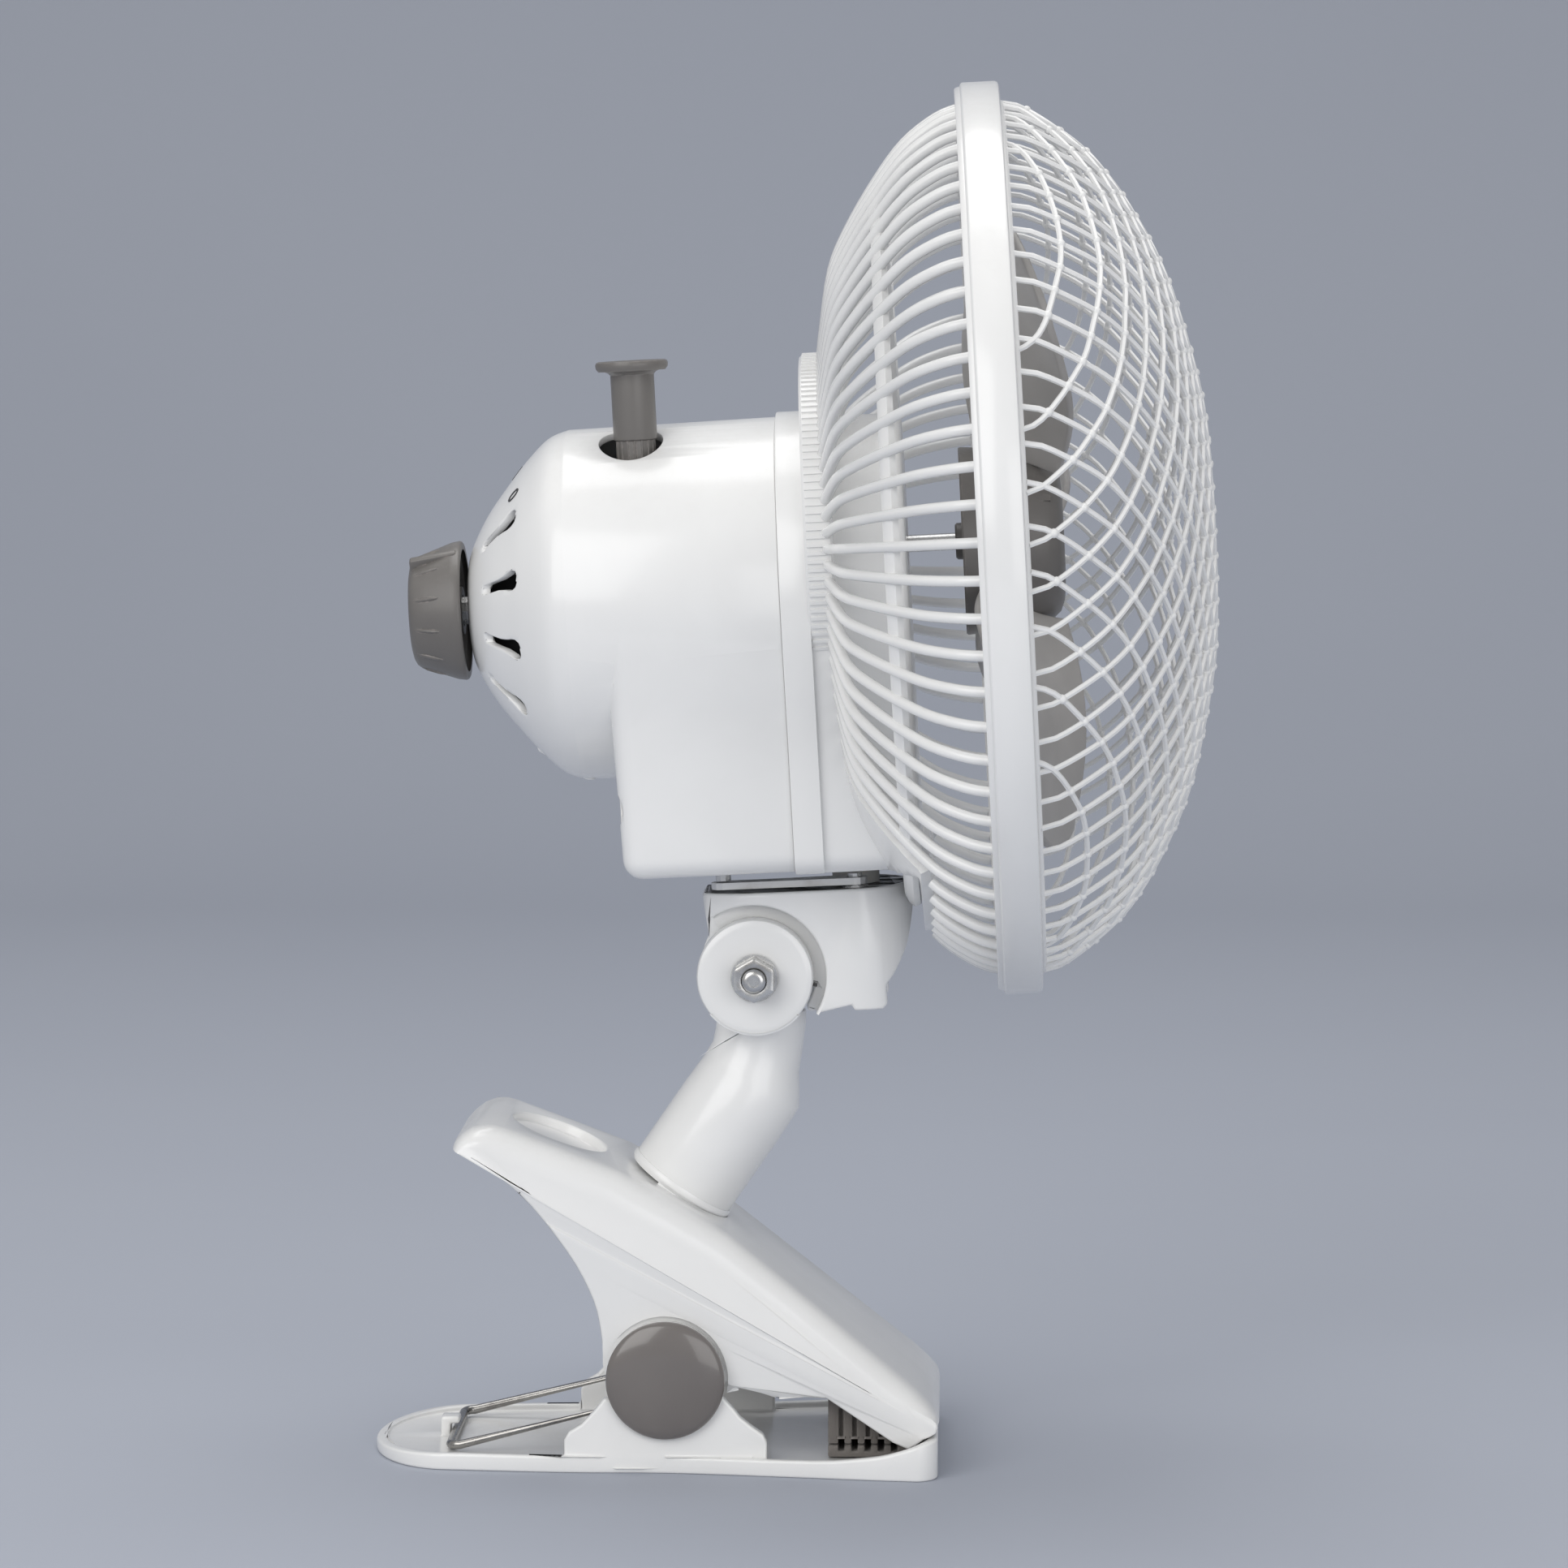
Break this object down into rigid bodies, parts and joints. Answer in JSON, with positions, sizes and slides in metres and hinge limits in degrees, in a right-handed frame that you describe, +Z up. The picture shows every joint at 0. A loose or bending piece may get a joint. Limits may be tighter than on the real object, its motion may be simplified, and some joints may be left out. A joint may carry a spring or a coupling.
{
  "type": "clip fan",
  "caption": "Small desk fan on a spring clip: bent arm, tilting neck, oscillating head with rear switch knob, push-pull plunger and latticed guard around a bladed impeller",
  "frame": {"origin": "on the underside of the lower jaw, straight below the hinge pin, midway across", "axes": "+X the way the fan faces, +Y away from the side with the plunger, +Z up"},
  "size_m": [0.1766, 0.1894, 0.287],
  "materials": {
    "white_plastic": "glossy white moulded plastic",
    "grey_plastic": "satin warm grey moulded plastic",
    "dark_plastic": "dark moulded plastic",
    "nylon": "natural nylon",
    "grip_rubber": "soft grey rubber",
    "steel": "bright zinc-plated steel",
    "spring_wire": "nickel-plated spring wire",
    "zinc": "cast light alloy",
    "core_steel": "stacked steel laminations",
    "copper": "enamelled copper wire",
    "brass": "sintered bronze and brass"
  },
  "bodies": {
    "clip_base": {"lower_jaw": "white_plastic", "lower_grip_pad": "grip_rubber", "hinge_pin": "steel", "hinge_cap_near": "grey_plastic", "hinge_cap_far": "grey_plastic", "clip_spring": "spring_wire"},
    "clip_lever": {"upper_jaw": "white_plastic", "upper_grip_pad": "grip_rubber", "arm": "white_plastic", "arm_screw_1": "steel", "arm_screw_2": "steel", "tilt_bolt": "steel", "tilt_nut": "steel", "tilt_washer_near": "steel", "tilt_washer_far": "steel"},
    "neck": {"neck_bracket": "white_plastic", "pan_post": "nylon", "post_screw": "steel", "pan_retainer": "steel", "retainer_screw": "steel", "link_pin": "steel"},
    "head": {"rear_grille": "white_plastic", "rear_cover": "white_plastic", "guard_ring": "white_plastic", "front_guard": "white_plastic", "stator_core": "core_steel", "coil_1": "copper", "coil_2": "copper", "coil_3": "copper", "coil_4": "copper", "front_plate": "zinc", "front_bearing": "brass", "rear_bearing": "brass", "gear_housing": "zinc", "motor_screw_1": "steel", "motor_screw_2": "steel", "cover_screw_1": "steel", "cover_screw_2": "steel", "rotary_switch": "dark_plastic", "cord_gland": "grip_rubber"},
    "fan_rotor": {"impeller": "grey_plastic", "motor_shaft": "steel", "rotor": "core_steel", "drive_worm": "brass"},
    "clutch": {"worm_wheel": "nylon", "clutch_sleeve": "steel", "clutch_pinion": "nylon"},
    "crank_set": {"crank_gear": "nylon", "crank": "steel"},
    "oscillation_knob": {"plunger": "grey_plastic", "clutch_rod": "steel"},
    "speed_knob": {"switch_knob": "grey_plastic", "switch_spindle": "steel"},
    "link": {"oscillation_link": "steel"}
  },
  "joints": [
    {"name": "clip_open", "type": "hinge", "parent": "clip_base", "child": "clip_lever", "pos_m": [0, 0, 0.0197], "axis": [0, -1, 0], "range_deg": [0, 32], "stiffness_Nm_per_rad": 1, "springref_deg": -34.38, "deforming": ["clip_spring"]},
    {"name": "head_tilt", "type": "hinge", "parent": "clip_lever", "child": "neck", "pos_m": [0.0181, 0, 0.1019], "axis": [0, -1, 0], "range_deg": [-25, 35]},
    {"name": "head_pan", "type": "hinge", "parent": "neck", "child": "head", "pos_m": [0.03781, 0, 0.14048], "axis": [-0.0523, 0, 0.9986], "range_deg": [-30, 30]},
    {"name": "fan_spin", "type": "hinge", "parent": "head", "child": "fan_rotor", "pos_m": [0.03349, 0, 0.19033], "axis": [0.9986, 0, 0.0523], "continuous": true},
    {"name": "clutch_spin", "type": "hinge", "parent": "head", "child": "clutch", "pos_m": [-0.00515, -0.014, 0.1883], "axis": [-0.0523, 0, 0.9986], "continuous": true},
    {"name": "crank_spin", "type": "hinge", "parent": "head", "child": "crank_set", "pos_m": [0.01164, -0.003, 0.13911], "axis": [-0.0523, 0, 0.9986], "continuous": true},
    {"name": "oscillation_push", "type": "slide", "parent": "head", "child": "oscillation_knob", "axis": [0.0523, 0, -0.9986], "range_m": [0, 0.008]},
    {"name": "speed_turn", "type": "hinge", "parent": "head", "child": "speed_knob", "pos_m": [-0.04592, 0, 0.17695], "axis": [-0.9986, 0, -0.0523], "range_deg": [0, 60]},
    {"name": "link_swing", "type": "hinge", "parent": "neck", "child": "link", "pos_m": [0.03879, -0.0098, 0.12171], "axis": [-0.0523, 0, 0.9986], "range_deg": [-27, 27]}
  ],
  "couplings": [
    {"joint": "clutch_spin", "follows": "fan_spin", "ratio": 0.0625},
    {"joint": "crank_spin", "follows": "fan_spin", "ratio": -0.025},
    {"joint": "link_swing", "follows": "head_pan", "ratio": 0.9}
  ]
}
